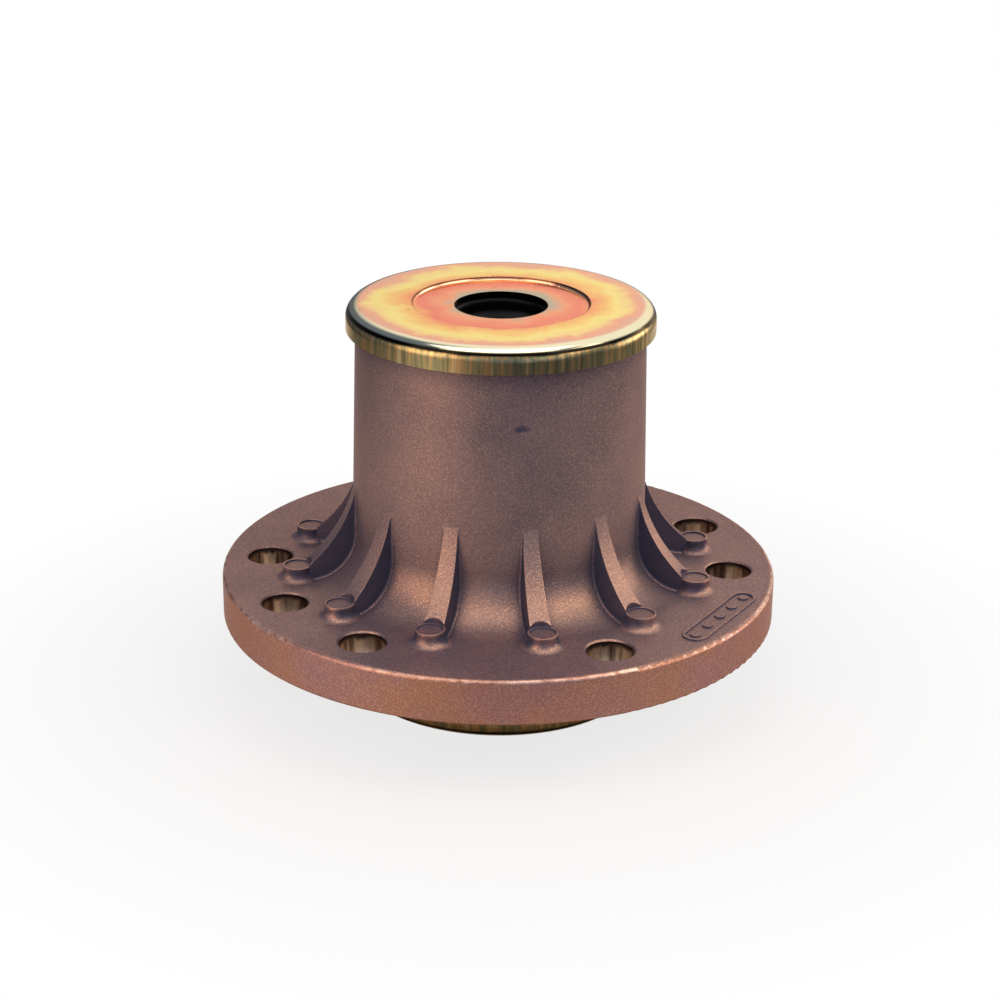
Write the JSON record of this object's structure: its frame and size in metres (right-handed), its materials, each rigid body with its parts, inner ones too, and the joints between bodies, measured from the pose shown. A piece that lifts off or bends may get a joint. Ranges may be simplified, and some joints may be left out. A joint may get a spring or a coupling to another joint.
{
  "type": "mower spindle housing",
  "caption": "Round flanged spindle housing with a ribbed barrel, ball bearings, spacer sleeve and plated dust caps, for carrying a mower blade spindle on a deck.",
  "frame": {"origin": "on the spindle axis at the flange's underside, the face that seats on the deck", "axes": "+Z along the spindle axis, from the flange up the barrel; -Y and X through bolt holes"},
  "size_m": [0.165, 0.165, 0.1186],
  "materials": {
    "cast_aluminium": "die-cast skin with fine grain, bronze-brown",
    "yellow_zinc_plate": "pressed steel, bright zinc plate with yellow iridescent passivate",
    "bearing_steel": "hardened, ground and polished",
    "pressed_steel": "bright rolled sheet",
    "turned_steel": "turned, lightly oiled",
    "seal_rubber": "moulded nitrile, matt"
  },
  "bodies": {
    "housing": {"housing": "cast_aluminium", "upper_outer_race": "bearing_steel", "lower_outer_race": "bearing_steel", "upper_outboard_seal": "seal_rubber", "upper_inboard_seal": "seal_rubber", "lower_outboard_seal": "seal_rubber", "lower_inboard_seal": "seal_rubber"},
    "spindle_line": {"spacer_sleeve": "turned_steel", "upper_inner_race": "bearing_steel", "lower_inner_race": "bearing_steel", "upper_dust_cap": "yellow_zinc_plate", "lower_dust_cap": "yellow_zinc_plate"},
    "upper_ball_cage": {"upper_balls": "bearing_steel", "upper_cage_outboard_half": "pressed_steel", "upper_cage_inboard_half": "pressed_steel", "upper_cage_rivets": "pressed_steel"},
    "lower_ball_cage": {"lower_balls": "bearing_steel", "lower_cage_outboard_half": "pressed_steel", "lower_cage_inboard_half": "pressed_steel", "lower_cage_rivets": "pressed_steel"}
  },
  "joints": [
    {"name": "spindle_spin", "type": "hinge", "parent": "housing", "child": "spindle_line", "pos_m": [0, 0, 0.0357], "axis": [0, 0, 1], "continuous": true},
    {"name": "upper_cage_spin", "type": "hinge", "parent": "housing", "child": "upper_ball_cage", "pos_m": [0, 0, 0.0357], "axis": [0, 0, 1], "continuous": true},
    {"name": "lower_cage_spin", "type": "hinge", "parent": "housing", "child": "lower_ball_cage", "pos_m": [0, 0, 0.0357], "axis": [0, 0, 1], "continuous": true}
  ],
  "couplings": [
    {"joint": "upper_cage_spin", "follows": "spindle_spin", "ratio": 0.37414},
    {"joint": "lower_cage_spin", "follows": "spindle_spin", "ratio": 0.37414}
  ]
}
